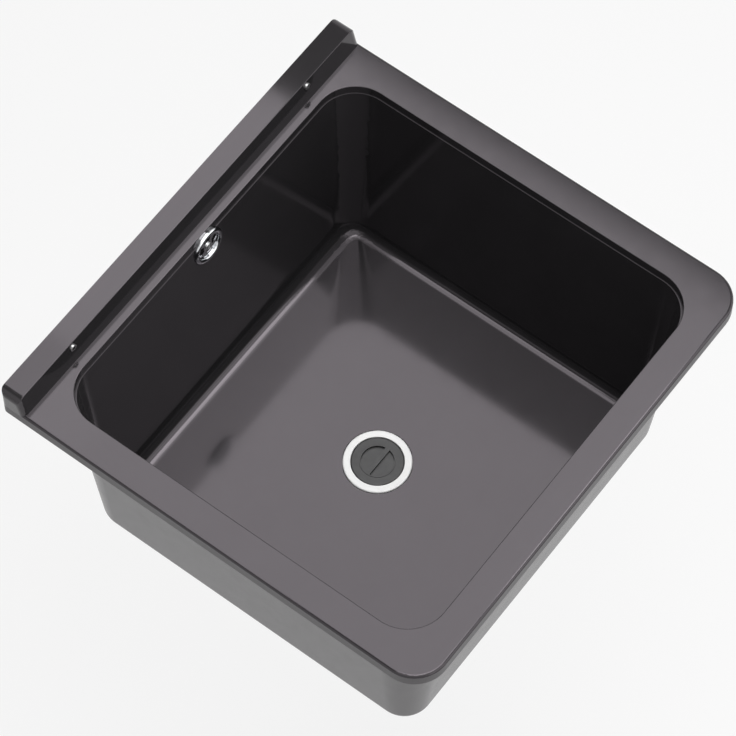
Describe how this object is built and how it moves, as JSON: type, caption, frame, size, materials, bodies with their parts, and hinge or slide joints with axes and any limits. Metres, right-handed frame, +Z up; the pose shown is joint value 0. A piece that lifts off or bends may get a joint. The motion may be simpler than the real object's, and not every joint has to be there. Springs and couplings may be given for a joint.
{
  "type": "plastic utility sink",
  "caption": "Wall-hung moulded plastic utility sink with a deep bowl, rear upstand, lift-out stopper, waste fitting and overflow.",
  "frame": {"origin": "on the wall face, midway across the sink, level with the top of the rim", "axes": "+X across to the right seen from the front, +Y into the wall, +Z up"},
  "size_m": [0.52, 0.493, 0.361],
  "materials": {
    "basin_plastic": "smooth moulded, glossy",
    "plug_plastic": "fine moulded",
    "white_plastic": "smooth moulded",
    "grey_plastic": "moulded",
    "rubber": "moulded",
    "chrome": "polished",
    "steel": "bright plated",
    "brass": "machined"
  },
  "bodies": {
    "sink": {"basin": "basin_plastic", "wall_screw_sleeves": "steel", "waste_flange": "white_plastic", "flange_seal": "rubber", "body_seal": "rubber", "waste_body": "white_plastic", "waste_screw": "steel", "waste_insert": "brass", "overflow_rosette": "chrome", "overflow_screw": "steel", "overflow_seal": "rubber", "overflow_elbow": "white_plastic", "overflow_insert": "brass", "overflow_pipe": "white_plastic", "slip_nuts": "grey_plastic", "slip_seals": "rubber", "slip_rings": "white_plastic"},
    "stopper": {"stopper_plug": "plug_plastic", "plug_seal": "rubber"}
  },
  "joints": [
    {"name": "stopper_lift", "type": "slide", "parent": "sink", "child": "stopper", "axis": [0, 0, 1], "range_m": [0, 0.3]}
  ]
}
